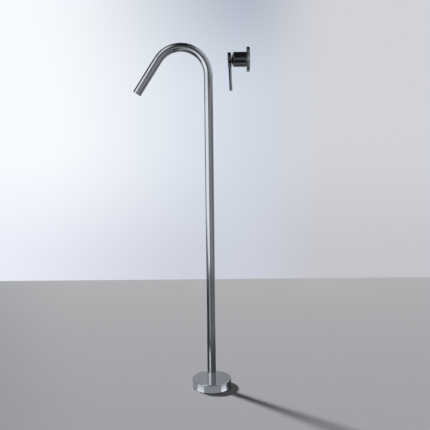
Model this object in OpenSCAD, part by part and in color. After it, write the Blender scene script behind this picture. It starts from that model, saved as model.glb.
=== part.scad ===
// Floor-standing basin mixer in two matching pieces: a tall bent spout column on a round
// base, and a single-lever mixing control that stands beside it on its own rosette.
// Millimetres. The origin is on the floor at the axis of the column, +Z is up, and +X runs
// from the column towards the surface that the control is fixed to.

/* [Spout column] */
// Outside diameter of the spout tube
tube_d = 28; // [20:0.5:34]
// Thickness of the spout tube's metal
tube_t = 1.5; // [1:0.1:2.5]
// Height from the floor to the top of the bend
spout_height = 1130; // [800:5:1300]
// Radius of the bend at the middle of the tube
bend_r = 87.5; // [60:0.5:120]
// Angle between the arm and the vertical
arm_angle = 33.5; // [10:0.5:60]
// Length of the straight arm after the bend
arm_length = 126; // [80:1:200]
// Chamfer round the tube's mouth
mouth_chamfer = 0.4; // [0.1:0.1:0.6]

/* [Water way in the column] */
// Outside diameter of the hose inside the column
hose_d = 14; // [10:0.5:16]
// Thickness of the hose
hose_t = 2; // [1.2:0.1:2.4]
// Length of each barbed tail inside the hose
tail_length = 20; // [12:1:30]
// Metal left round the water way of a barbed tail
tail_t = 1.4; // [0.8:0.1:1.8]
// Length of each crimp ring on the hose
crimp_length = 13; // [8:1:18]
// Thickness of each crimp ring
crimp_t = 0.6; // [0.4:0.1:1]

/* [Base] */
// Diameter of the base cover
cover_d = 130; // [120:1:160]
// Height from the floor to the top of the base cover
cover_height = 28.7; // [26:0.1:40]
// Thickness of the cover's skirt
cover_skirt_t = 2; // [1.2:0.1:3]
// Thickness of the cover's top
cover_top_t = 3; // [2:0.1:4]
// Chamfer round the cover's upper edge
cover_chamfer = 1; // [0.4:0.1:1.6]
// Thickness of the rubber gasket under the base
gasket_t = 1; // [0.5:0.1:2]
// How far the gasket stays inside the cover's rim
gasket_inset = 0.5; // [0.2:0.1:1]
// Diameter of the steel base plate
base_d = 118; // [110:1:124]
// Thickness of the steel base plate
base_t = 14; // [8:0.5:14]
// Pitch circle of the holes for the floor bolts
bolt_pcd = 92; // [86:1:96]
// Diameter of the holes for the floor bolts
bolt_hole_d = 9; // [6:0.5:10]
// Number of floor bolts
bolt_count = 4; // [3:1:6]
// Diameter of the column foot's flange
foot_flange_d = 62; // [58:0.5:68]
// Thickness of the column foot's flange
foot_flange_t = 5; // [4:0.5:6]
// Bore of the half-inch pipe thread in the foot
thread_d = 18.63; // [14:0.01:20]
// Depth of the half-inch pipe thread
thread_depth = 12; // [10:0.5:13]
// Length of the column foot's spigot inside the tube
foot_spigot = 40; // [30:1:60]
// Pitch circle of the screws that hold the column foot
foot_pcd = 48; // [46:0.5:50]
// Thread diameter of the screws that hold the column foot
foot_screw_d = 6; // [4:0.5:6]
// Number of screws that hold the column foot
foot_screw_count = 3; // [3:1:6]

/* [Outlet] */
// Depth of the aerator below the tube's mouth
aerator_recess = 1; // [0.5:0.1:2]
// Length of the aerator's cage
aerator_h = 9; // [7:0.5:12]
// Number of rings of cells in the aerator's grille
cell_rings = 4; // [2:1:5]
// Distance between neighbouring cells of the grille
cell_pitch = 2; // [1.8:0.1:2.2]

/* [Place of the control] */
// Distance from the column's axis to the surface that carries the control
mount_x = 121; // [100:1:200]
// Sideways place of the control, against the column's axis
control_y = -188; // [-300:1:-120]
// Height of the control's axis above the floor
control_z = 1044; // [800:1:1200]

/* [Control outside] */
// Diameter of the rosette
rosette_d = 70; // [68:0.5:80]
// Height of the rosette off its surface
rosette_h = 8; // [7.5:0.1:10]
// Thickness of the rosette's metal
rosette_t = 2; // [1.5:0.1:2.2]
// Diameter of the sleeve
sleeve_d = 42; // [41:0.5:44]
// Thickness of the sleeve
sleeve_t = 1.5; // [1:0.1:1.6]
// Distance from the mounting surface to the sleeve's front rim
sleeve_front = 45; // [44:0.5:50]
// Height of the dome in front of the sleeve
dome_h = 7; // [6.4:0.1:7.2]
// Thickness of the dome
dome_t = 1.6; // [1:0.1:2]
// Gap between the dome's round opening and the stem of the fully lifted lever
stem_gap = 0.1; // [0.1:0.1:1]

/* [Lever] */
// Diameter of the lever's round hub
hub_d = 42; // [36:0.5:44]
// Thickness of the hub
hub_t = 10.4; // [9:0.1:12]
// How far the dome reaches into the hollow in the hub's back
dome_in_hub = 0.35; // [0:0.05:0.5]
// Depth of the hollow in the hub's back
hub_hollow = 1.5; // [1.4:0.1:1.8]
// Tilt of the lever from closed to open
lift_angle = 20; // [10:0.5:20]
// Rounding of the hub's front edge
hub_round = 1.5; // [0.5:0.1:2.5]
// Diameter of the pin lever
pin_d = 8.6; // [7:0.1:9]
// Distance from the stem's axis to the tip of the pin lever
pin_reach = 87; // [60:1:120]
// Lean of the closed lever towards the mounting surface
lever_lean = 2.6; // [0:0.1:4]

/* [Cartridge] */
// Diameter of the cartridge
cartridge_d = 26; // [25:0.1:26.5]
// Distance from the mounting surface to the bottom of the cartridge
cartridge_z = 12; // [8:0.5:12]
// Thickness of the cartridge's base
cartridge_base_t = 4; // [3:0.1:4]
// Thickness of each ceramic disc
disc_t = 3; // [2.5:0.1:3]
// Diameter of the fixed ceramic disc
fixed_disc_d = 22.4; // [21:0.1:22.6]
// Diameter of the sliding ceramic disc
moving_disc_d = 16.6; // [16:0.1:17]
// Distance of each water port from the cartridge's axis
port_offset = 7.5; // [7:0.1:7.5]
// Diameter of each water port
port_d = 5.6; // [4:0.1:5.6]
// Distance from the pivot to the ball that drives the sliding disc
ball_arm = 9; // [8.5:0.1:9]
// Diameter of the ball
ball_d = 6; // [5:0.1:6]
// Width of the square stem
stem_w = 7; // [6:0.1:7]
// Diameter of the pivot pin
pivot_d = 3; // [2:0.1:3.2]

/* [Mixing body] */
// Diameter of the sockets for the water nipples in the back of the body
nipple_d = 9; // [8:0.1:9.2]
// Depth of the sockets for the water nipples
nipple_depth = 6; // [4:0.5:7]
// Diameter of the body's fixing flange
flange_d = 62; // [60:0.5:62]
// Thickness of the body's fixing flange
flange_t = 2.5; // [2:0.1:3]
// Pitch circle of the flange's fixing holes
flange_pcd = 52; // [50:0.5:54]
// Diameter of the flange's fixing holes
flange_hole_d = 4.6; // [3.5:0.1:5]
// Number of the flange's fixing holes
flange_hole_count = 4; // [3:1:6]

/* [Fits] */
// Radial gap between two pieces that are pushed together
push_gap = 0.05; // [0.02:0.01:0.08]
// Radial gap between two pieces that turn or slide on each other
run_gap = 0.1; // [0.05:0.01:0.15]
// Radial gap between the base cover and the tube
cover_gap = 0.3; // [0.2:0.05:0.5]

/* [Hidden] */
$fn = 96;

chrome = "#c9ced2";
steel = "#8d9296";
brass = "#b9974f";
nickel = "#b9b5aa";
rubber = "#26272a";
plastic = "#e6e4dc";
ceramic = "#f3f1ea";

// Column
tube_r = tube_d / 2;
tube_bore_r = tube_r - tube_t;
bend_angle = 180 - arm_angle;
bend_z = spout_height - tube_r - bend_r;
bend_lap = 0.5;
hair = 0.06;
hose_r = hose_d / 2;
hose_bore_r = hose_r - hose_t;
tail_r = hose_bore_r - push_gap;
water_r = tail_r - tail_t;

// Base, from the floor up
base_top = gasket_t + base_t;
foot_top = base_top + foot_flange_t;
spigot_r = tube_bore_r - push_gap;
spigot_top = foot_top + foot_spigot;
foot_boss_r = thread_d / 2 + 7;
tail_seat_r = water_r + 3;
tail_seat_h = 12;
screw_head_r = foot_screw_d * 0.87;
screw_head_h = foot_screw_d * 0.55;
screw_key_r = foot_screw_d / 3;
cover_r = cover_d / 2;
cover_under = cover_height - cover_top_t;
collar_r = tube_r + cover_gap + 3.2;
collar_h = 5;
seal_r = 1;
seal_mid_r = tube_r + push_gap + seal_r;
seal_z = cover_under - collar_h / 2;

// Hose and its ends
hose_z = spigot_top + 2;
insert_depth = aerator_recess + aerator_h + 3;
insert_length = insert_depth + 8;
hose_end = arm_length - insert_length - 2;
cage_r = tube_bore_r - 2;
washer_t = 1.5;
screen_t = 0.5;
grille_t = 2;
cage_t = 1.2;
cell_r = 0.8;

// Control: distances from the mounting surface, and radii
rosette_r = rosette_d / 2;
sleeve_r = sleeve_d / 2;
sleeve_bore_r = sleeve_r - sleeve_t;
neck_r = sleeve_bore_r - 2 * run_gap;
neck_top = cartridge_z + 24;
ring_section_r = 0.89;
ring_groove_r = sleeve_bore_r - push_gap - 2 * ring_section_r;
cartridge_r = cartridge_d / 2;
cartridge_bore_r = cartridge_r + run_gap;
housing_bore_r = cartridge_r - 1.4;
rotor_r = housing_bore_r - run_gap;
rotor_neck_r = 8.5;
shoulder_r = cartridge_r + 2;
shoulder_z = cartridge_z + 18;
shoulder_t = 2;
nut_r = shoulder_r + run_gap;
nut_hex_r = nut_r + 1.9;
disc_z = cartridge_z + cartridge_base_t;
slide_z = disc_z + disc_t + push_gap;
driver_z = slide_z + disc_t;
ball_z = driver_z + ball_d / 2 + 0.35;
pivot_z = ball_z + ball_arm;
rotor_z = ball_z + ball_d / 2 - 0.6;
housing_top = pivot_z + 6;
driver_half_w = 6;
slot_half = stem_w / 2 + 2.8;
closed_shift = ball_arm * sin(lever_lean);
rim_z = sleeve_front + push_gap;
dome_r = (sleeve_r * sleeve_r + dome_h * dome_h) / (2 * dome_h);
dome_top = rim_z + dome_h - pivot_z;
open_tilt = lift_angle - lever_lean;
stem_swing = dome_top * tan(open_tilt) + stem_w / 2 / cos(open_tilt);
dome_hole_r = norm([stem_swing, stem_w / 2]) + stem_gap;
hub_reach = dome_top - dome_in_hub;
hollow_r = hub_d / 2 - 4;
stem_top = hub_reach + 7.8;
pin_mid = hub_reach + hub_t / 2;
pin_thread_r = pin_d / 2 - 1.8;
hub_r = hub_d / 2;

module ring(outer_r, inner_r, h) {
    linear_extrude(height = h) difference() {
        circle(r = outer_r);
        circle(r = inner_r);
    }
}

module seal_ring(mid_r, section_r) {
    rotate_extrude() translate([mid_r, 0]) circle(r = section_r, $fn = 32);
}

module around(count, pcd, turn = 0) {
    for (i = [0:count - 1]) rotate(turn + i * 360 / count) translate([pcd / 2, 0, 0]) children();
}

// Local Z runs along the arm, from the end of the bend to the tube's mouth
module on_arm() {
    translate([-bend_r, 0, bend_z]) rotate([0, -bend_angle, 0]) translate([bend_r, 0, 0]) children();
}

// Local Z runs out of the mounting surface along the control's axis, and local X is up
module on_control() {
    translate([mount_x, control_y, control_z]) rotate([0, -90, 0]) children();
}

// Local Z runs out along the stem from the pivot, with the lever at rest
module on_stem() {
    on_control() translate([0, 0, pivot_z]) rotate([0, -lever_lean, 0]) children();
}

// Straight column, bend and a piece of the arm, as one run of pipe. The arm starts a little
// inside the bend and is a hair slimmer, so that the two are one piece at any angle.
module bent_pipe(outer_r, inner_r, start_z, end_length) {
    translate([0, 0, start_z]) ring(outer_r, inner_r, bend_z - start_z);
    translate([-bend_r, 0, bend_z]) rotate([90, 0, 0]) rotate_extrude(angle = bend_angle)
        translate([bend_r, 0]) difference() {
            circle(r = outer_r);
            circle(r = inner_r);
        }
    on_arm() translate([0, 0, -bend_lap]) ring(outer_r - hair, inner_r + hair, end_length + bend_lap);
}

// Base

module base_gasket() {
    color(rubber) difference() {
        ring(cover_r - gasket_inset, foot_boss_r + 0.5, gasket_t);
        translate([0, 0, -1]) around(bolt_count, bolt_pcd, 45) cylinder(r = bolt_hole_d / 2, h = gasket_t + 2);
    }
}

module base_plate() {
    color(steel) translate([0, 0, gasket_t]) difference() {
        ring(base_d / 2, foot_boss_r + 0.5, base_t);
        translate([0, 0, -1]) around(bolt_count, bolt_pcd, 45) cylinder(r = bolt_hole_d / 2, h = base_t + 2);
        translate([0, 0, 3]) around(foot_screw_count, foot_pcd) cylinder(r = foot_screw_d / 2, h = base_t);
    }
}

module column_foot() {
    color(brass) difference() {
        union() {
            translate([0, 0, gasket_t]) cylinder(r = foot_boss_r, h = base_t);
            translate([0, 0, base_top]) cylinder(r = foot_flange_d / 2, h = foot_flange_t);
            translate([0, 0, foot_top]) cylinder(r = spigot_r, h = foot_spigot);
        }
        translate([0, 0, gasket_t - 1]) cylinder(r = thread_d / 2, h = thread_depth + 1);
        cylinder(r = water_r, h = spigot_top + 1);
        translate([0, 0, spigot_top - tail_seat_h]) cylinder(r = tail_seat_r, h = tail_seat_h + 1);
        translate([0, 0, base_top - 1]) around(foot_screw_count, foot_pcd)
            cylinder(r = foot_screw_d / 2 + 0.3, h = foot_flange_t + 2);
    }
}

module foot_screws() {
    color(steel) around(foot_screw_count, foot_pcd) difference() {
        union() {
            translate([0, 0, base_top - 8]) cylinder(r = foot_screw_d / 2 - push_gap, h = foot_flange_t + 8);
            translate([0, 0, foot_top]) cylinder(r = screw_head_r, h = screw_head_h);
        }
        translate([0, 0, foot_top + screw_head_h / 3]) cylinder(r = screw_key_r, h = screw_head_h, $fn = 6);
    }
}

module base_cover() {
    color(chrome) difference() {
        rotate_extrude() union() {
            polygon([
                [cover_r - cover_skirt_t, gasket_t], [cover_r, gasket_t],
                [cover_r, cover_height - cover_chamfer], [cover_r - cover_chamfer, cover_height],
                [tube_r + cover_gap, cover_height], [tube_r + cover_gap, cover_under],
                [cover_r - cover_skirt_t, cover_under]
            ]);
            translate([tube_r + cover_gap, cover_under - collar_h])
                square([collar_r - tube_r - cover_gap, collar_h + 1]);
        }
        translate([0, 0, seal_z - seal_r - push_gap])
            cylinder(r = seal_mid_r + seal_r + push_gap, h = 2 * (seal_r + push_gap));
    }
}

module cover_ring() {
    color(rubber) translate([0, 0, seal_z]) seal_ring(seal_mid_r, seal_r);
}

// Column and the water way inside it

module spout_tube() {
    color(chrome) difference() {
        bent_pipe(tube_r, tube_bore_r, foot_top, arm_length);
        on_arm() translate([0, 0, arm_length]) rotate_extrude() polygon([
            [tube_r - mouth_chamfer, 0], [tube_r + 1, -mouth_chamfer - 1], [tube_r + 1, 1],
            [tube_r - mouth_chamfer, 1]
        ]);
    }
}

module hose_tail() {
    color(brass) difference() {
        union() {
            translate([0, 0, spigot_top - tail_seat_h + 1])
                cylinder(r = tail_seat_r - push_gap, h = tail_seat_h - 1);
            translate([0, 0, spigot_top]) cylinder(r = tail_seat_r, h = 2);
            translate([0, 0, hose_z]) cylinder(r = tail_r, h = tail_length);
        }
        cylinder(r = water_r, h = hose_z + tail_length + 1);
    }
}

module inner_hose() {
    color(plastic) bent_pipe(hose_r, hose_bore_r, hose_z, hose_end);
}

module lower_crimp() {
    color(steel) translate([0, 0, hose_z + 3]) ring(hose_r + push_gap + crimp_t, hose_r + push_gap, crimp_length);
}

module upper_crimp() {
    color(steel) on_arm() translate([0, 0, hose_end - 3 - crimp_length])
        ring(hose_r + push_gap + crimp_t, hose_r + push_gap, crimp_length);
}

module outlet_insert() {
    color(brass) on_arm() difference() {
        union() {
            translate([0, 0, arm_length - insert_length]) cylinder(r = spigot_r, h = insert_length - aerator_recess);
            translate([0, 0, arm_length - insert_length - 2]) cylinder(r = tail_seat_r, h = 2);
            translate([0, 0, hose_end - tail_length]) cylinder(r = tail_r, h = tail_length);
        }
        translate([0, 0, arm_length - insert_depth]) cylinder(r = cage_r + push_gap, h = insert_depth + 1);
        translate([0, 0, hose_end - tail_length - 1]) cylinder(r = water_r, h = insert_length + tail_length);
    }
}

// Outlet, counted from the mouth inwards

module aerator_cage() {
    cage_z = arm_length - aerator_recess - aerator_h;
    color(plastic) on_arm() translate([0, 0, cage_z]) {
        ring(cage_r, cage_r - cage_t, aerator_h);
        translate([0, 0, aerator_h - grille_t]) difference() {
            cylinder(r = cage_r - cage_t / 2, h = grille_t - 0.4);
            grille_cells();
        }
    }
}

module grille_cells() {
    for (q = [-cell_rings:cell_rings], r = [-cell_rings:cell_rings])
        if (abs(q + r) <= cell_rings)
            translate([cell_pitch * (q + r / 2), cell_pitch * r * sqrt(3) / 2, -1])
                cylinder(r = cell_r, h = grille_t + 2, $fn = 6);
}

module aerator_screen() {
    screen_z = arm_length - aerator_recess - aerator_h + 1;
    color(steel) on_arm() translate([0, 0, screen_z]) difference() {
        cylinder(r = cage_r - cage_t, h = screen_t);
        for (n = [6, 12]) for (i = [0:n - 1]) rotate(i * 360 / n) translate([n / 2, 0, -1])
            cylinder(r = 1, h = screen_t + 2, $fn = 6);
    }
}

module aerator_washer() {
    washer_z = arm_length - aerator_recess - aerator_h - washer_t;
    color(rubber) on_arm() translate([0, 0, washer_z]) ring(cage_r - push_gap, cage_r - 2.5, washer_t);
}

// Control body and its covers

module mixing_body() {
    color(nickel) on_control() difference() {
        union() {
            cylinder(r = flange_d / 2, h = flange_t);
            cylinder(r = neck_r, h = neck_top);
        }
        translate([0, 0, cartridge_z]) cylinder(r = cartridge_bore_r, h = neck_top);
        translate([0, 0, shoulder_z]) cylinder(r = nut_r, h = neck_top);
        for (z = ring_places()) translate([0, 0, z - ring_section_r - push_gap])
            ring(neck_r + 1, ring_groove_r, 2 * (ring_section_r + push_gap));
        around(flange_hole_count, flange_pcd, 45) translate([0, 0, -1])
            cylinder(r = flange_hole_d / 2, h = flange_t + 2);
        water_ports(-1, nipple_depth + 1, nipple_d / 2);
        water_ports(0, cartridge_z + 1);
    }
}

function ring_places() = [neck_top * 0.35, neck_top * 0.65];

// Hot, cold and mixed ways through the body and the cartridge; the mixed one is the upper one
module water_ports(z, h, r = port_d / 2) {
    for (spot = [[0, -port_offset], [0, port_offset], [port_offset, 0]])
        translate([spot[0], spot[1], z]) cylinder(r = r, h = h);
}

module rosette_gasket() {
    color(rubber) on_control() ring(rosette_r - 0.3, flange_d / 2 + 0.8, gasket_t);
}

module control_rosette() {
    hole_r = sleeve_r + run_gap;
    color(chrome) on_control() rotate_extrude() difference() {
        polygon([
            [rosette_r - rosette_t, gasket_t], [rosette_r, gasket_t], [rosette_r, rosette_h - 0.6],
            [rosette_r - 0.6, rosette_h], [hole_r, rosette_h], [hole_r, rosette_h - 4.6],
            [hole_r + 3.2, rosette_h - 4.6], [hole_r + 3.2, rosette_h - rosette_t],
            [rosette_r - rosette_t, rosette_h - rosette_t]
        ]);
        translate([hole_r - 1, rosette_h - 3.5]) square([1 + 2 * ring_section_r + push_gap, 2]);
    }
}

module rosette_ring() {
    color(rubber) on_control() translate([0, 0, rosette_h - 2.5])
        seal_ring(sleeve_r + push_gap + ring_section_r, ring_section_r);
}

module control_sleeve() {
    color(chrome) on_control() translate([0, 0, flange_t + 0.3])
        ring(sleeve_r, sleeve_bore_r, sleeve_front - flange_t - 0.3);
}

module sleeve_rings() {
    color(rubber) on_control() for (z = ring_places()) translate([0, 0, z])
        seal_ring(ring_groove_r + ring_section_r, ring_section_r);
}

module dome_ring() {
    centre_z = rim_z + dome_h - dome_r;
    color(chrome) on_control() rotate_extrude() union() {
        intersection() {
            translate([0, centre_z]) difference() {
                circle(r = dome_r, $fn = 180);
                circle(r = dome_r - dome_t, $fn = 180);
            }
            translate([dome_hole_r, rim_z]) square([sleeve_r, dome_h + 1]);
        }
        translate([sleeve_bore_r - push_gap - 1.6, rim_z - 5.5]) square([1.6, 5.5 + dome_t / 2]);
    }
}

// Cartridge, from its bottom outwards

module cartridge_seals() {
    color(rubber) on_control() for (spot = [[0, -port_offset], [0, port_offset], [port_offset, 0]])
        translate([spot[0], spot[1], cartridge_z + 0.7]) seal_ring(port_d / 2 + 1.1, 0.7);
}

module cartridge_base() {
    color(plastic) on_control() difference() {
        translate([0, 0, cartridge_z]) cylinder(r = cartridge_r, h = cartridge_base_t);
        water_ports(cartridge_z - 1, cartridge_base_t + 2);
        water_ports(cartridge_z - 1, 1 + 1.4 + push_gap, port_d / 2 + 1.85);
    }
}

module fixed_disc() {
    color(ceramic) on_control() difference() {
        translate([0, 0, disc_z]) cylinder(r = fixed_disc_d / 2, h = disc_t);
        water_ports(disc_z - 1, disc_t + 2, port_d / 2 - 0.4);
    }
}

// The shallow pocket joins the mixed way with the hot and cold ones once the disc slides
module moving_disc() {
    color(ceramic) on_control() translate([closed_shift, 0, slide_z]) difference() {
        cylinder(r = moving_disc_d / 2, h = disc_t);
        translate([port_offset - 3, -5.5, -1]) cube([3, 11, 1 + disc_t / 2]);
    }
}

module disc_driver() {
    color(plastic) on_control() translate([closed_shift, 0, driver_z]) difference() {
        intersection() {
            cylinder(r = moving_disc_d / 2, h = rotor_z - driver_z - 0.3);
            translate([-moving_disc_d / 2, -driver_half_w, 0]) cube([moving_disc_d, 2 * driver_half_w, 20]);
        }
        translate([0, 0, 0.3]) cylinder(r = ball_d / 2 + run_gap, h = 20);
    }
}

module cartridge_rotor() {
    color(plastic) on_control() difference() {
        union() {
            translate([0, 0, rotor_z]) cylinder(r = rotor_r, h = housing_top - 2 - run_gap - rotor_z);
            translate([0, 0, rotor_z]) cylinder(r = rotor_neck_r, h = housing_top + 1 - rotor_z);
            translate([0, 0, driver_z + 0.3]) difference() {
                cylinder(r = rotor_r, h = rotor_z - driver_z);
                translate([-cartridge_d, -driver_half_w - run_gap, -1])
                    cube([2 * cartridge_d, 2 * (driver_half_w + run_gap), 20]);
            }
        }
        translate([-slot_half, -stem_w / 2 - run_gap, 0]) cube([2 * slot_half, stem_w + 2 * run_gap, 80]);
        translate([0, 0, pivot_z]) rotate([90, 0, 0]) cylinder(r = pivot_d / 2 + push_gap / 2, h = 40, center = true);
    }
}

module pivot_pin() {
    color(steel) on_control() translate([0, 0, pivot_z]) rotate([90, 0, 0])
        cylinder(r = pivot_d / 2, h = 2 * rotor_r - 3, center = true);
}

module cartridge_housing() {
    color(plastic) on_control() difference() {
        union() {
            translate([0, 0, disc_z]) cylinder(r = cartridge_r, h = housing_top - disc_z);
            translate([0, 0, shoulder_z]) cylinder(r = shoulder_r, h = shoulder_t);
        }
        translate([0, 0, disc_z - 1]) cylinder(r = housing_bore_r, h = housing_top - 2 - disc_z + 1);
        cylinder(r = rotor_neck_r + run_gap, h = 80);
    }
}

module retaining_nut() {
    nut_z = shoulder_z + shoulder_t;
    color(brass) on_control() translate([0, 0, nut_z]) difference() {
        union() {
            cylinder(r = nut_r - push_gap, h = neck_top - nut_z);
            translate([0, 0, neck_top - nut_z]) cylinder(r = nut_hex_r, h = 3, $fn = 6);
        }
        translate([0, 0, -1]) cylinder(r = cartridge_bore_r, h = 20);
    }
}

// Lever

module lever_stem() {
    color(nickel) on_stem() difference() {
        union() {
            translate([0, 0, -ball_arm]) sphere(r = ball_d / 2);
            translate([0, 0, -ball_arm]) cylinder(r = ball_d / 3, h = ball_arm);
            translate([-stem_w / 2, -stem_w / 2, -stem_w / 2]) cube([stem_w, stem_w, stem_top + stem_w / 2]);
        }
        rotate([90, 0, 0]) cylinder(r = pivot_d / 2 + push_gap, h = 2 * stem_w, center = true);
    }
}

module lever_hub() {
    socket = stem_w + 2 * push_gap;
    color(chrome) on_stem() difference() {
        translate([0, 0, hub_reach]) rotate_extrude() union() {
            polygon([
                [0, 0], [hub_r - 0.5, 0], [hub_r, 0.5], [hub_r, hub_t - hub_round],
                [hub_r - hub_round, hub_t], [0, hub_t]
            ]);
            translate([hub_r - hub_round, hub_t - hub_round]) circle(r = hub_round, $fn = 48);
        }
        translate([-socket / 2, -socket / 2, 0]) cube([socket, socket, stem_top + push_gap]);
        translate([0, 0, hub_reach - 1]) cylinder(r = hollow_r, h = 1 + hub_hollow);
        translate([0, 0, pin_mid]) {
            rotate([0, 90, 0]) cylinder(r = grub_r() + push_gap, h = hub_r + 1);
            translate([hub_r - 4, 0, 0]) rotate([0, 90, 0]) cylinder(r = plug_r() + push_gap, h = 5);
            rotate([0, -90, 0]) cylinder(r = pin_thread_r + push_gap, h = hub_r + 1);
            translate([-hub_r + 1.2, 0, 0]) rotate([0, -90, 0]) cylinder(r = pin_d / 2 + push_gap, h = 3);
        }
    }
}

function grub_r() = 2;
function plug_r() = 2.6;

module lever_pin() {
    tip_round = 1.5;
    color(chrome) on_stem() translate([0, 0, pin_mid]) rotate([0, -90, 0]) rotate_extrude() union() {
        polygon([
            [0, hub_r - 9], [pin_thread_r, hub_r - 9], [pin_thread_r, hub_r - 1.2], [pin_d / 2, hub_r - 1.2],
            [pin_d / 2, pin_reach - tip_round], [pin_d / 2 - tip_round, pin_reach], [0, pin_reach]
        ]);
        translate([pin_d / 2 - tip_round, pin_reach - tip_round]) circle(r = tip_round, $fn = 48);
    }
}

module grub_screw() {
    color(steel) on_stem() translate([stem_w / 2 + push_gap, 0, pin_mid]) rotate([0, 90, 0]) difference() {
        cylinder(r = grub_r(), h = 8);
        translate([0, 0, 5.5]) cylinder(r = 1.15, h = 4, $fn = 6);
    }
}

module screw_plug() {
    color(chrome) on_stem() translate([hub_r - 4, 0, pin_mid]) rotate([0, 90, 0])
        cylinder(r = plug_r(), h = 3.7);
}

base_gasket();
base_plate();
column_foot();
foot_screws();
base_cover();
cover_ring();
spout_tube();
hose_tail();
inner_hose();
lower_crimp();
upper_crimp();
outlet_insert();
aerator_washer();
aerator_screen();
aerator_cage();
mixing_body();
rosette_gasket();
control_rosette();
rosette_ring();
control_sleeve();
sleeve_rings();
dome_ring();
cartridge_seals();
cartridge_base();
fixed_disc();
moving_disc();
disc_driver();
cartridge_rotor();
pivot_pin();
cartridge_housing();
retaining_nut();
lever_stem();
lever_hub();
lever_pin();
grub_screw();
screw_plug();
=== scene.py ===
import math

import bpy
from mathutils import Matrix, Vector


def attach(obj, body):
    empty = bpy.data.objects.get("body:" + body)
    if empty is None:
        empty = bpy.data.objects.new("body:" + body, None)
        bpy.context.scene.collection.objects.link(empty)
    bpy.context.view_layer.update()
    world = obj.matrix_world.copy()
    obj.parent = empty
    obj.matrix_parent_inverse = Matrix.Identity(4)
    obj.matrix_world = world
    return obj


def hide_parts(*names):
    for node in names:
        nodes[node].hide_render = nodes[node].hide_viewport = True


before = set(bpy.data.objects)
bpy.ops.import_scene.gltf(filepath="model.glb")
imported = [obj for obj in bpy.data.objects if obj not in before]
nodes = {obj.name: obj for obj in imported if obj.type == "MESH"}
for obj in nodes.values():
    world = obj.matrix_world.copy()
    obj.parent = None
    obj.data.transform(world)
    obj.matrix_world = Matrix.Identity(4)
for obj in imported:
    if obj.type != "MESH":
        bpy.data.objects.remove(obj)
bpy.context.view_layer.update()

mm = 0.001
control_at = (121, -188, 1044)  # the middle of the rosette's back, in mm

# Camera: stands 1.83 m in front of the column and 0.76 m above the floor, with a lens of the
# photograph's field of view, turned a little to the left, tipped down and rolled half a degree.
yaw, pitch, roll = (math.radians(angle) for angle in (-0.46, 5.74, 0.61))
ahead = Vector((
    math.sin(yaw) * math.cos(pitch), math.cos(yaw) * math.cos(pitch), -math.sin(pitch)))
right = Vector((math.cos(yaw), -math.sin(yaw), 0))
down = ahead.cross(right)
across = math.cos(roll) * right + math.sin(roll) * down
drop = math.cos(roll) * down - math.sin(roll) * right
camera = bpy.data.objects.new("camera", bpy.data.cameras.new("camera"))
camera.data.lens = 47.14
camera.data.sensor_width = 36
camera.matrix_world = (Matrix.Translation((0.0313, -1.8324, 0.7637))
                       @ Matrix((across, -drop, -ahead)).transposed().to_4x4())
bpy.context.scene.collection.objects.link(camera)
bpy.context.scene.camera = camera
bpy.context.scene.view_settings.view_transform = "Standard"


# Floor: a wide sheet of pale grey studio vinyl, laid flat under the base. It is matt, so that it
# takes the soft shadow of the column and mirrors next to nothing. Its colour is a little darker near
# the camera and at the left, which is painted shade.
def linear(colour):
    """The linear values of an sRGB hex colour, and full opacity."""
    parts = [int(colour[i:i + 2], 16) / 255 for i in (1, 3, 5)]
    return [c / 12.92 if c <= 0.04045 else ((c + 0.055) / 1.055) ** 2.4 for c in parts] + [1]


def put(tree, kind, sockets=None, **settings):
    """Adds a node. A socket takes a value, or a link where it is given another node's output."""
    node = tree.nodes.new(kind)
    for name, value in settings.items():
        setattr(node, name, value)
    for key, value in (sockets or {}).items():
        if isinstance(value, bpy.types.NodeSocket):
            tree.links.new(value, node.inputs[key])
        else:
            node.inputs[key].default_value = value
    return node


def material(name):
    """A new material, its node tree, and a link with the place of each point in metres."""
    made = bpy.data.materials.new(name)
    made.use_nodes = True
    made.node_tree.nodes.clear()
    return made, made.node_tree, put(made.node_tree, "ShaderNodeTexCoord").outputs["Object"]


def noise(tree, spot, scale, detail):
    """Soft noise from 0 to 1, with so many blobs to the metre."""
    blobs = put(tree, "ShaderNodeTexNoise", {"Vector": spot, "Scale": scale, "Detail": detail})
    return blobs.outputs["Fac"]


def graded(tree, value, start, stop, low=0, high=1, smooth=False):
    """Goes from low to high while the value goes from start to stop."""
    return put(tree, "ShaderNodeMapRange", {0: value, 1: start, 2: stop, 3: low, 4: high},
               interpolation_type="SMOOTHSTEP" if smooth else "LINEAR").outputs[0]


def mixed(tree, share, low, high):
    """A colour between two, which are hex colours, linear values or links."""
    low, high = (linear(end) if isinstance(end, str) else end for end in (low, high))
    return put(tree, "ShaderNodeMix", {0: share, 6: low, 7: high}, data_type="RGBA").outputs[2]


def calc(tree, operation, *values):
    """The result of a piece of arithmetic on numbers or links."""
    return put(tree, "ShaderNodeMath", dict(enumerate(values)), operation=operation).outputs[0]


def coat(tree, sockets):
    """Ends a tree in a principled shader with these settings."""
    skin = put(tree, "ShaderNodeBsdfPrincipled", sockets)
    put(tree, "ShaderNodeOutputMaterial", {"Surface": skin.outputs[0]})


def shape(name, points, faces, finish, normals=None):
    """A smooth mesh object in metres, with its exact surface normals where they are given."""
    mesh = bpy.data.meshes.new(name)
    mesh.from_pydata(points, [], faces)
    mesh.shade_smooth()
    if normals:
        mesh.normals_split_custom_set_from_vertices(normals)
    mesh.materials.append(finish)
    made = bpy.data.objects.new(name, mesh)
    bpy.context.scene.collection.objects.link(made)
    return made


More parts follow.
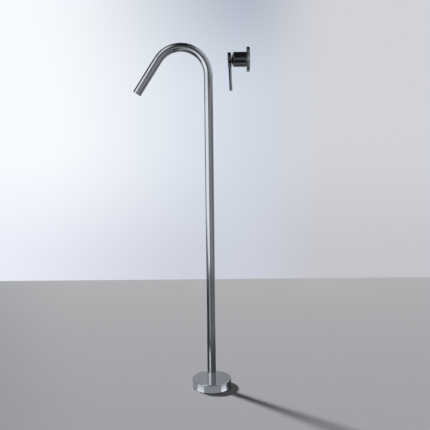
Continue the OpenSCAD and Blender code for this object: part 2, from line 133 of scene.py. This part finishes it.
def spun(name, rim, place, finish, sides=160, closed=True):
    """Spins points with normals about a line. place(height) is where the line is at that height."""
    points, normals, faces = [], [], []
    for point, normal in rim:
        at = place(point.y * mm)
        for side in range(sides):
            angle = 2 * math.pi * side / sides
            ray = Vector((math.cos(angle), math.sin(angle), 0))
            points.append(at @ (ray * point.x * mm))
            normals.append(at.to_3x3() @ (ray * normal.x + Vector((0, 0, normal.y))))
    rings = len(rim)
    for ring in range(rings if closed else rings - 1):
        low, high = ring * sides, (ring + 1) % rings * sides
        for side in range(sides):
            on = (side + 1) % sides
            faces.append((low + side, low + on, high + on, high + side))
    return shape(name, points, faces, finish, normals)


def upright(height):
    """The column's own axis, which rises from the middle of the base."""
    return Matrix.Translation((0, 0, height))


vinyl, tree, spot = material("matt_vinyl_floor")
fleck = noise(tree, spot, 2.2, 3)
apart = put(tree, "ShaderNodeSeparateXYZ", {0: spot})
# Painted shade: the floor's colour is darker near the camera and at the left, and fades out towards
# the back and the right.
front_shade_fade = graded(tree, apart.outputs[1], -0.2, 1.6)
tone = mixed(tree, front_shade_fade, "#a3a3a6", mixed(tree, fleck, "#b0b0b2", "#b5b5b7"))
slant = calc(tree, "MULTIPLY_ADD", apart.outputs[1], 0.35, apart.outputs[0])
left_shade_fade = graded(tree, slant, -1.0, -0.36, smooth=True)
tone = mixed(tree, left_shade_fade, mixed(tree, front_shade_fade, "#939498", "#a8a9ab"), tone)
sheen = graded(tree, fleck, 0, 1, 0.75, 0.85)
coat(tree, {"Base Color": tone, "Roughness": sheen, "IOR": 1.3})
floor_z = -0.2  # a hair below the base, in mm
floor = spun(
    "floor", [(Vector((r, floor_z)), Vector((0, 1))) for r in (3600, 2400, 1600, 800, 300, 0.1)],
    upright, vinyl, sides=96, closed=False)

# Backdrop: four upright sheets of pale paper on the floor about the set, joined in a ring. Paper
# looks even and matt. Its tone is painted shade, bluish white at the left and darker to the right
# and upwards. At the far right it goes to a soft warmer grey.
paper, tree, spot = material("pale_backdrop_paper")
apart = put(tree, "ShaderNodeSeparateXYZ", {0: spot})
sideways, height = apart.outputs[0], apart.outputs[2]
# Painted shade: the tone darkens from the left to the right and upwards.
side = graded(tree, sideways, -1.15, 0.45, smooth=True)
rise = graded(tree, height, 0, 0.9, smooth=True)
low = mixed(tree, graded(tree, sideways, -1.6, 0.1, smooth=True), "#eaeefa", "#cbcfdc")
mid = mixed(tree, side, "#f8fbff", "#ced7e4")
top = mixed(tree, side, "#f6fafe", "#a5aebd")
far_right = mixed(tree, rise, "#c4c4ca", "#d2d3d8")
tone = mixed(tree, rise, low, mid)
tone = mixed(tree, graded(tree, height, 1.1, 1.9, smooth=True), tone, top)
tone = mixed(tree, graded(tree, sideways, 0.1, 0.75, smooth=True), tone, far_right)
# Camera rays, reflections and rays through glass see the painted tone as the paper's own glow.
ray = put(tree, "ShaderNodeLightPath").outputs
seen = calc(tree, "MAXIMUM", ray["Is Camera Ray"], ray["Is Glossy Ray"])
seen = calc(tree, "MAXIMUM", seen, ray["Is Transmission Ray"])
plain = put(tree, "ShaderNodeBsdfDiffuse", {"Color": tone}).outputs[0]
painted_glow = put(tree, "ShaderNodeEmission", {"Color": tone, "Strength": 1}).outputs[0]


def one_sided(tree, shader):
    """Ends a tree in a shader that only the front of a sheet shows. Its back is clear."""
    back = put(tree, "ShaderNodeNewGeometry").outputs["Backfacing"]
    clear = put(tree, "ShaderNodeBsdfTransparent").outputs[0]
    facing = put(tree, "ShaderNodeMixShader", {0: back, 1: shader, 2: clear})
    put(tree, "ShaderNodeOutputMaterial", {"Surface": facing.outputs[0]})


one_sided(tree, put(tree, "ShaderNodeMixShader", {0: seen, 1: plain, 2: painted_glow}).outputs[0])


def fence(name, finish, half_width, front, back, foot, height):
    """Four upright sheets joined in a ring, with their faces to the inside, in metres."""
    corners = [(-half_width, back), (half_width, back), (half_width, front), (-half_width, front)]
    points, faces = [], []
    for i, (x, y) in enumerate(corners):
        to_x, to_y = corners[(i + 1) % 4]
        points += [(x, y, foot), (to_x, to_y, foot), (to_x, to_y, height), (x, y, height)]
        faces.append([4 * i + corner for corner in range(4)])
    return shape(name, points, faces, finish)


backdrop = fence(
    "backdrop", paper, half_width=2.6, front=-2.4, back=1.69, foot=-0.001, height=3.2)
backdrop.visible_shadow = False
backdrop.visible_diffuse = False

# Lights: a wide lamp far off at the back left, whose light the backdrop doesn't hold off. It throws
# the soft shadow to the right and to the front. A pale studio gives an even light from all sides.
lamp = bpy.data.objects.new("soft_lamp", bpy.data.lights.new("soft_lamp", "SUN"))
lamp.data.angle = math.radians(7)
lamp.data.energy = 4.3
lamp.location = (-2.70, 2.35, 2.95)
lamp.rotation_euler = (-lamp.location).to_track_quat("-Z", "Y").to_euler()
lamp.visible_glossy = False
lamp.visible_camera = False
bpy.context.scene.collection.objects.link(lamp)
studio = bpy.context.scene.world = bpy.data.worlds.new("pale_studio")
studio.use_nodes = True
studio.node_tree.nodes.clear()
air = put(studio.node_tree, "ShaderNodeBackground", {"Color": linear("#f4f5f8"), "Strength": 0.12})
put(studio.node_tree, "ShaderNodeOutputWorld", {"Surface": air.outputs[0]})

# Reflection cards: white, grey and dark cards on four upright screens, a ceiling and a ring on the
# ground, all round the set, so that polished metal has something bright and something dark to
# show. They glow by themselves, and only reflections see them.
card, tree, spot = material("reflection_cards")
brightest = 1.4
# A card is placed by its direction from the top of the column, in degrees: up from level, and about
# to the right from the camera, round an upright line a little in front of the column.
view_height, line_y = 1.05, -0.036
from_top = put(tree, "ShaderNodeVectorMath", {0: spot, 1: (0, 0, view_height)},
               operation="SUBTRACT")
aim = put(tree, "ShaderNodeVectorMath", {0: from_top.outputs[0]}, operation="NORMALIZE")
up = calc(tree, "ARCSINE", put(tree, "ShaderNodeSeparateXYZ", {0: aim.outputs[0]}).outputs[2])
up = calc(tree, "DEGREES", up)
quarter_turn = put(tree, "ShaderNodeMapping", {
    "Vector": spot, "Location": (line_y, 0, 0), "Rotation": (0, 0, math.pi / 2)})
compass = put(tree, "ShaderNodeTexGradient", {0: quarter_turn.outputs[0]}, gradient_type="RADIAL")
round_about = compass.outputs[1]
about = graded(tree, round_about, 0, 1, -180, 180)


def card_grey(level):
    """A card's faintly blue grey, as a share of the brightest card."""
    return [level / brightest * tint for tint in (0.95, 1.0, 1.08)] + [1]


def within(value, low, high, soft):
    """1 between low and high, and 0 outside, with soft edges."""
    return calc(tree, "MULTIPLY", graded(tree, value, low - soft, low + soft, smooth=True),
                graded(tree, value, high - soft, high + soft, 1, 0, smooth=True))


def ring_of(stops):
    """A grey for each direction about the set, from stops of degrees and grey level."""
    ramp = put(tree, "ShaderNodeValToRGB", {0: round_about})
    marks = ramp.color_ramp.elements
    marks.remove(marks[-1])
    for i, (degrees, level) in enumerate(stops):
        mark = marks[0] if i == 0 else marks.new(degrees / 360 + 0.5)
        mark.position = degrees / 360 + 0.5
        mark.color = card_grey(level)
    return ramp.outputs[0]


tone = ring_of((
    (-180, 0.42), (-150, 0.30), (-125, 0.27), (-105, 0.32), (-30, 0.62), (-17, 0.55), (-6, 0.27),
    (14, 0.33), (40, 0.33), (67, 0.25), (105, 0.20), (125, 0.22), (150, 0.32), (180, 0.36)))
right_screen = ring_of((
    (0, 0.16), (20, 0.24), (40, 0.36), (60, 0.42), (80, 0.50), (100, 0.66), (125, 0.85),
    (160, 0.70)))
for about_low, about_high, up_low, up_high, soft, grey in (
        # The screens at the right, the left and behind, the ceiling, and the dark middle
        (15, 165, 8, 72, 7, right_screen),
        (-360, -76, 18, 76, 6, 0.07),
        (155, 360, 14, 120, 6, 0.02),
        (-360, 360, 66, 120, 9, 0.014),
        (-22, 17, 4, 120, 7, 0.08),
        (-31, 18, 45, 120, 7, 0.014),
        # The white cards at the left, high and low, and a dark edge under them
        (-70, -36, 12, 58, 6, 1.25),
        (-98, -60, 55, 67, 5, 0.6),
        (-98, -50, -19, 14, 6, 1.25),
        (-54, -18, -29, 8, 6, 1.25),
        (-118, -88, -29, -19, 4, 0.03),
        # The ground, its lighter and its darker parts
        (-360, 360, -120, -29, 5, 0.18),
        (-360, 360, -120, -64, 8, 0.09),
        (-42, -14, -64, -30, 7, 0.45),
        (-6, 14, -62, -26, 6, 0.09),
        (-135, -60, -70, -34, 9, 0.05),
        (135, 360, -56, -23, 7, 0.4),
        (-360, -142, -56, -23, 7, 0.4),
        (-360, -108, -80, -64, 5, 0.03),
        (-62, -24, -84, -70, 4, 0.9),
        # The ring next to the base, for the base's side
        (-360, 360, -120, -83, 1, 0.38),
        (-84, -46, -120, -84.5, 4, 1.35),
        (57, 85, -120, -84.8, 2.5, 1.4),
        (92, 360, -120, -79.5, 7, 0.045)):
    mask = calc(tree, "MULTIPLY", within(about, about_low, about_high, soft),
                within(up, up_low, up_high, soft))
    tone = mixed(tree, mask, tone, card_grey(grey) if isinstance(grey, float) else grey)

# The control lies level, so its metal shows narrow strips that run to the front and to the back of
# it. A strip keeps between two x and two y in metres and two angles up. The further from the
# control, the more it shifts to the right, as the camera's view of the control does.
shift_per_metre, x_soft, y_soft = 0.049, 0.004, 0.05
apart = put(tree, "ShaderNodeSeparateXYZ", {0: spot})
away = put(tree, "ShaderNodeVectorMath", {0: spot, 1: [c * mm for c in control_at]},
           operation="DISTANCE")
shift = calc(tree, "MULTIPLY", away.outputs["Value"], shift_per_metre)
shifted_x = calc(tree, "SUBTRACT", apart.outputs[0], shift)
for left_x, right_x, front_y, back_y, up_low, up_high, soft, grey in (
        (0, 0.114, -5, -0.1, -52, 120, 5, 0.010),
        (0, 0.114, -5, -0.1, -16, 18, 6, 0.08),
        (0, 0.114, -0.1, 5, -79, -40, 3, 0.06),
        (0.119, 0.2, -5, -0.1, -70, 85, 5, 0.25),
        (0.119, 0.2, -5, -0.1, -12, 12, 6, 0.50)):
    place = calc(tree, "MULTIPLY", within(shifted_x, left_x, right_x, x_soft),
                 within(apart.outputs[1], front_y, back_y, y_soft))
    mask = calc(tree, "MULTIPLY", place, within(up, up_low, up_high, soft))
    tone = mixed(tree, mask, tone, card_grey(grey))
glow = put(tree, "ShaderNodeEmission", {"Color": tone, "Strength": brightest})
one_sided(tree, glow.outputs[0])
cards = fence(
    "reflection_cards", card, half_width=2.58, front=-2.38, back=1.67, foot=0.001, height=3)
ceiling = spun(
    "reflection_ceiling", [(Vector((r, 3000)), Vector((0, -1))) for r in (5, 900, 3600)],
    upright, card, sides=4, closed=False)
ground = spun(
    "reflection_ground", [(Vector((r, 1)), Vector((0, 1))) for r in (3600, 1200, 450, 67)],
    upright, card, sides=96, closed=False)


def reflect_only(part):
    """Shows a part of the set to reflections alone."""
    for kind in ("camera", "diffuse", "transmission", "volume_scatter", "shadow"):
        setattr(part, "visible_" + kind, False)


for part in (cards, ceiling, ground):
    reflect_only(part)

# Black flag: a small card with dull black cloth on its side towards the control. It stands at the
# left of the pin lever, edge-on to the column, so that only the lever has its dark reflection.
flag_cloth, tree, spot = material("black_flag_cloth")
dull = put(tree, "ShaderNodeEmission", {"Color": linear("#141416"), "Strength": 1})
one_sided(tree, dull.outputs[0])
near_end, far_end, flag_foot, flag_top = (-0.055, -0.50), (-0.02, -0.15), 0.92, 1.13
flag = shape("left_flag", [(*near_end, flag_foot), (*far_end, flag_foot), (*far_end, flag_top),
                           (*near_end, flag_top)], [(0, 1, 2, 3)], flag_cloth)
reflect_only(flag)

# Base gasket, and the mixer's other rubber rings and seals: black EPDM rubber. The base gasket is
# cut from sheet and seals the base to the floor, and the rings are moulded. Rubber has a fine
# matt grain.
epdm, tree, spot = material("black_epdm_rubber")
grain = noise(tree, spot, 1 / (0.6 * mm), 4)
bloom = noise(tree, spot, 1 / (25 * mm), 2)
bump = put(tree, "ShaderNodeBump", {"Height": grain, "Strength": 0.25, "Distance": 0.1 * mm})
coat(tree, {"Base Color": mixed(tree, bloom, "#161719", "#26272a"),
            "Roughness": graded(tree, grain, 0, 1, 0.55, 0.75), "Normal": bump.outputs[0],
            "IOR": 1.52})


def dress(names, finish):
    """Gives CAD nodes their finish."""
    for name in names.split():
        for slot in nodes[name].material_slots:
            slot.material = finish


dress("base_gasket cover_ring aerator_washer rosette_gasket rosette_ring", epdm)
dress("sleeve_rings cartridge_seals", epdm)


# Base plate: a round of mild steel, faced on a lathe and zinc plated, bolted through its four
# holes to the floor. Facing leaves fine rings, here drawn 0.8 mm apart to show.
def turned_metal(name, colours, spacing, roughness, relief, place=(0, 0, 0), tip=(0, 0, 0)):
    """Metal with the rings of a lathe tool about the Z of a place, in mm and radians."""
    made, tree, spot = material(name)
    seat = put(tree, "ShaderNodeMapping", {"Vector": spot, "Location": [-c * mm for c in place]})
    lie = put(tree, "ShaderNodeMapping", {"Vector": seat.outputs[0], "Rotation": tip})
    wave_length = 2 * math.pi / 20  # of the wave texture at scale 1
    rings = put(tree, "ShaderNodeTexWave", {
        "Vector": lie.outputs[0], "Scale": wave_length / (spacing * mm), "Distortion": 0.6,
        "Detail": 2, "Detail Scale": 1.5}, wave_type="RINGS", rings_direction="Z")
    stain = noise(tree, spot, 1 / (12 * mm), 4)
    bump = put(tree, "ShaderNodeBump", {
        "Height": rings.outputs["Fac"], "Strength": relief, "Distance": 0.05 * mm})
    coat(tree, {"Base Color": mixed(tree, stain, *colours), "Metallic": 1,
                "Roughness": graded(tree, stain, 0, 1, *roughness), "Normal": bump.outputs[0]})
    return made


dress("base_plate", turned_metal(
    "zinc_plated_steel", ("#a3a7aa", "#b9bdc0"), spacing=0.8, roughness=(0.3, 0.42), relief=0.5))

# Column foot and lower hose tail: free-turning brass, warm yellow with fine tool rings. The foot is
# screwed to the base plate and pressed into the tube. The barbed tail in its bore holds the hose.
brass = {"colours": ("#c6a256", "#d8b76c"), "spacing": 0.5, "roughness": (0.2, 0.3), "relief": 0.4}
dress("column_foot hose_tail", turned_metal("turned_brass", **brass))

# Foot screws: three socket screws of steel, which hold the foot on the plate. Bright zinc plating
# makes them lighter and bluer than the plate.
dress("foot_screws", turned_metal(
    "bright_zinc_screw", ("#aeb4ba", "#c2c7cb"), spacing=0.4, roughness=(0.22, 0.34), relief=0.3))

# Base cover: a spun brass cap, polished and chromium plated, that lies over the plate and slides
# up the column. Chromium is a hard clear mirror, a little darker and bluer than silver.
chromium, tree, spot = material("polished_chromium_plate")
wipe = put(tree, "ShaderNodeTexNoise", {
    "Vector": spot, "Scale": 1 / (30 * mm), "Detail": 5, "Roughness": 0.6}).outputs["Fac"]
ripple = noise(tree, spot, 1 / (18 * mm), 1)
bump = put(tree, "ShaderNodeBump", {"Height": ripple, "Strength": 0.1, "Distance": 0.05 * mm})
coat(tree, {"Base Color": mixed(tree, wipe, "#c3c5c7", "#c8cacb"), "Metallic": 1,
            "Roughness": graded(tree, wipe, 0.35, 0.75, 0.03, 0.06), "Normal": bump.outputs[0]})


def rounded(outline, steps=5):
    """Corners of (radius, height, rounding) in mm, as points with their outward normals. The
    outline runs with the metal on its left. A rounding takes less than half of either line."""
    count = len(outline)
    share = 0.49
    made = []
    for i, (r, h, rounding) in enumerate(outline):
        corner = Vector((r, h))
        back = Vector(outline[i - 1][:2]) - corner
        on = Vector(outline[(i + 1) % count][:2]) - corner
        before = Vector((-back.y, back.x)).normalized()
        after = Vector((on.y, -on.x)).normalized()
        turn = math.atan2(before.x * after.y - before.y * after.x, before.dot(after))
        if abs(turn) < 1e-4:
            made.append((corner, after))
            continue
        reach = min(rounding * math.tan(abs(turn) / 2), share * back.length, share * on.length)
        radius = reach / math.tan(abs(turn) / 2)
        middle = corner + back.normalized() * reach - before * radius * math.copysign(1, turn)
        for step in range(steps + 1):
            angle = turn * step / steps
            out = Vector((before.x * math.cos(angle) - before.y * math.sin(angle),
                          before.x * math.sin(angle) + before.y * math.cos(angle)))
            made.append((middle + out * radius * math.copysign(1, turn), out))
    return made


# Sizes from here on follow the CAD model and are in mm.
tube_r, gasket_t, edge = 14, 1, 0.25
cover_r, cover_top, cover_t, cover_skirt_t, cover_chamfer = 65, 28.7, 3, 2, 1
cover_hole_r, collar_r, collar_h = tube_r + 0.3, 17.5, 5
cover_under, cover_bore_r = cover_top - cover_t, cover_r - cover_skirt_t
cover = spun("base_cover_skin", rounded([
    (cover_hole_r, cover_under - collar_h, edge), (collar_r, cover_under - collar_h, edge),
    (collar_r, cover_under, edge), (cover_bore_r, cover_under, edge),
    (cover_bore_r, gasket_t, edge), (cover_r, gasket_t, edge),
    (cover_r, cover_top - cover_chamfer, edge), (cover_r - cover_chamfer, cover_top, edge),
    (cover_hole_r, cover_top, edge)]), upright, chromium, sides=192)
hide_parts("base_cover")
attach(cover, "cover")

# Spout tube: one length of 28 mm brass tube, bent on a mandrel through 146.5 degrees and polished
# all over before plating, so that nothing shows where the straights meet the bend.
bore_r, tube_foot = tube_r - 1.5, 20
straight, bend, sweep, arm = 1008.5, 87.5, math.radians(146.5), 126
length = straight + bend * sweep + arm


def along(height):
    """The tube's middle line, from its foot to its mouth."""
    gone = height / mm
    turned = min(max((gone - straight) / bend, 0), sweep)
    bend_middle = Matrix.Translation((-bend * mm, 0, (tube_foot + straight) * mm))
    over = bend_middle @ Matrix.Rotation(-turned, 4, "Y")
    rest = min(gone - straight, 0) + max(gone - straight - bend * sweep, 0)
    return over @ Matrix.Translation((bend * mm, 0, rest * mm))


straight_steps, bend_steps, arm_steps = 12, 98, 6
stations = [straight * i / straight_steps for i in range(1, straight_steps)]
stations += [straight + bend * sweep * i / bend_steps for i in range(bend_steps + 1)]
stations += [straight + bend * sweep + arm * i / arm_steps for i in range(1, arm_steps)]
rim = rounded([
    (bore_r, 0, 0.2), (tube_r, 0, 0.2), (tube_r, length, 0.5), (bore_r, length, 0.2)], steps=6)
quarter = len(rim) // 4
rim = (rim[:2 * quarter] + [(Vector((tube_r, s)), Vector((1, 0))) for s in stations]
       + rim[2 * quarter:] + [(Vector((bore_r, s)), Vector((-1, 0))) for s in reversed(stations)])
tube = spun("spout_tube_skin", rim, along, chromium, sides=128)
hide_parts("spout_tube")
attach(tube, "root")

# Inner hose: white cross-linked polyethylene, extruded, which takes the water up inside the tube.
# It is waxy and a little cloudy, with faint lines along its length.
hose, tree, spot = material("white_polyethylene_hose")
drawn = put(tree, "ShaderNodeMapping", {
    "Vector": spot, "Scale": (1 / (2 * mm), 1 / (2 * mm), 1 / (60 * mm))})
lines = noise(tree, drawn.outputs[0], 1, 3)
coat(tree, {"Base Color": mixed(tree, lines, "#e4e2d8", "#efede4"),
            "Roughness": graded(tree, lines, 0, 1, 0.36, 0.5), "Subsurface Weight": 0.15,
            "Subsurface Scale": 2 * mm, "IOR": 1.51})
dress("inner_hose", hose)

# Crimp rings, aerator screen and small pins: stainless steel, pressed or ground. It is a warmer,
# softer grey than the plating.
dress("lower_crimp upper_crimp aerator_screen pivot_pin grub_screw", turned_metal(
    "pressed_stainless_steel", ("#a8a6a1", "#bbb9b4"), spacing=0.4, roughness=(0.24, 0.36),
    relief=0.2))

# Outlet insert: turned brass, pressed into the tube's mouth. It holds the aerator at one end and
# the hose at the other, and its tool rings run about the arm.
arm_start = along((straight + bend * sweep) * mm).translation / mm
dress("outlet_insert", turned_metal(
    "turned_brass_outlet", place=arm_start, tip=(0, sweep, 0), **brass))

# Aerator cage and the cartridge's moulded pieces: pale grey acetal. The cage is moulded in one with
# its honeycomb and pushed in above the mouth, and the cartridge's pieces snap together. Acetal is
# smooth and slightly waxy.
acetal, tree, spot = material("moulded_acetal")
grain = noise(tree, spot, 1 / (0.5 * mm), 3)
flow = noise(tree, spot, 1 / (9 * mm), 2)
bump = put(tree, "ShaderNodeBump", {"Height": grain, "Strength": 0.1, "Distance": 0.05 * mm})
coat(tree, {"Base Color": mixed(tree, flow, "#d6d6d2", "#e2e2de"),
            "Roughness": graded(tree, grain, 0, 1, 0.32, 0.48), "Normal": bump.outputs[0],
            "IOR": 1.48})
dress("aerator_cage cartridge_base disc_driver cartridge_rotor cartridge_housing", acetal)

# Mixing body and lever stem: turned brass, blasted and nickel plated. The body is fixed under the
# rosette, on three water nipples, and the stem joins the lever to the cartridge. Blasting leaves an
# even satin grain under the warm grey nickel.
nickel, tree, spot = material("blasted_nickel_plate")
grain = noise(tree, spot, 1 / (0.9 * mm), 4)
cloud = noise(tree, spot, 1 / (20 * mm), 3)
bump = put(tree, "ShaderNodeBump", {"Height": grain, "Strength": 0.3, "Distance": 0.08 * mm})
coat(tree, {"Base Color": mixed(tree, cloud, "#b3b0a8", "#c2bfb6"), "Metallic": 1,
            "Roughness": graded(tree, grain, 0, 1, 0.3, 0.44), "Normal": bump.outputs[0]})
dress("mixing_body lever_stem", nickel)


# Control rosette: a round cap pressed from brass sheet, polished and chromium plated like the
# column. It covers the fixing flange and grips the sleeve with a rubber ring.
def out_of_surface(height):
    """The control's axis, which comes out of the mounting surface at the rosette's middle."""
    x, y, z = (c * mm for c in control_at)
    return Matrix.Translation((x - height, y, z)) @ Matrix.Rotation(-math.pi / 2, 4, "Y")


sleeve_r, rosette_r, rosette_h, rosette_t, rosette_chamfer = 21, 35, 8, 2, 0.6
rosette_hole_r, lip_r, lip_foot = sleeve_r + 0.1, 24.3, 3.4
groove_r, groove_low, groove_high = 22.93, 4.5, 6.44
rosette_under, rosette_bore_r = rosette_h - rosette_t, rosette_r - rosette_t
rosette = spun("control_rosette_skin", rounded([
    (rosette_hole_r, lip_foot, 0.15), (lip_r, lip_foot, 0.15), (lip_r, rosette_under, 0.15),
    (rosette_bore_r, rosette_under, 0.15), (rosette_bore_r, gasket_t, 0.15),
    (rosette_r, gasket_t, 0.15), (rosette_r, rosette_h - rosette_chamfer, 0.3),
    (rosette_r - rosette_chamfer, rosette_h, 0.3), (rosette_hole_r, rosette_h, edge),
    (rosette_hole_r, groove_high, 0.1), (groove_r, groove_high, 0.1),
    (groove_r, groove_low, 0.1), (rosette_hole_r, groove_low, 0.1)]), out_of_surface, chromium)
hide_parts("control_rosette")
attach(rosette, "root")

# Control sleeve: drawn brass tube, cut square, polished and plated. It is pushed over two rubber
# rings on the body's neck.
sleeve_bore_r, sleeve_foot, sleeve_front = sleeve_r - 1.5, 2.8, 45
sleeve = spun("control_sleeve_skin", rounded([
    (sleeve_bore_r, sleeve_foot, 0.2), (sleeve_r, sleeve_foot, 0.2),
    (sleeve_r, sleeve_front, 0.3), (sleeve_bore_r, sleeve_front, 0.2)]), out_of_surface, chromium)
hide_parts("control_sleeve")
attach(sleeve, "root")

# Dome: a shallow turned and plated cap in the front of the sleeve, with a round opening for the
# lever's stem. Its skirt is a push fit in the sleeve.
dome_r, dome_t, dome_middle, rim_z = 35, 1.6, 17.05, sleeve_front + 0.05
dome_hole_r, hole_front, hole_back = 9.94, 50.61, 48.94
skirt_r, skirt_bore_r, skirt_foot, skirt_end = 19.45, 17.85, 39.55, 45.28


def dome_arc(radius, places):
    """Corners on an arc about the dome's middle. They are rounded until they run into each other."""
    most = 90
    return [(r, dome_middle + math.sqrt(radius ** 2 - r ** 2), most) for r in places]


dome = spun("dome_ring_skin", rounded(
    [(skirt_r, skirt_foot, 0.2), (skirt_r, rim_z, 0.1), (sleeve_r, rim_z, 0.2)]
    + dome_arc(dome_r, (20, 18, 16, 14, 12, 10.5))
    + [(dome_hole_r, hole_front, 0.2), (dome_hole_r, hole_back, 0.2)]
    + dome_arc(dome_r - dome_t, (10.5, 12, 14, 16, 17.4))
    + [(skirt_bore_r, skirt_end, 0.1), (skirt_bore_r, skirt_foot, 0.2)]), out_of_surface, chromium)
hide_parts("dome_ring")
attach(dome, "root")

# Ceramic discs: sintered alumina, lapped flat and pressed together by the cartridge. Lapping
# leaves them white and glassy.
alumina, tree, spot = material("lapped_alumina")
speck = noise(tree, spot, 1 / (0.7 * mm), 5)
coat(tree, {"Base Color": mixed(tree, speck, "#eceae2", "#f4f2ec"),
            "Roughness": graded(tree, speck, 0, 1, 0.1, 0.2), "IOR": 1.76})
dress("fixed_disc moving_disc", alumina)

# Retaining nut: turned brass, screwed into the body's neck to hold the cartridge down. Its tool
# rings run about the control's axis.
dress("retaining_nut", turned_metal(
    "turned_brass_control", place=control_at, tip=(0, math.pi / 2, 0), **brass))

# Lever hub, pin and screw plug: a thick turned disc, a round pin screwed into its rim and a small
# plug over the clamping screw, all polished and chromium plated.
dress("lever_hub lever_pin screw_plug", chromium)
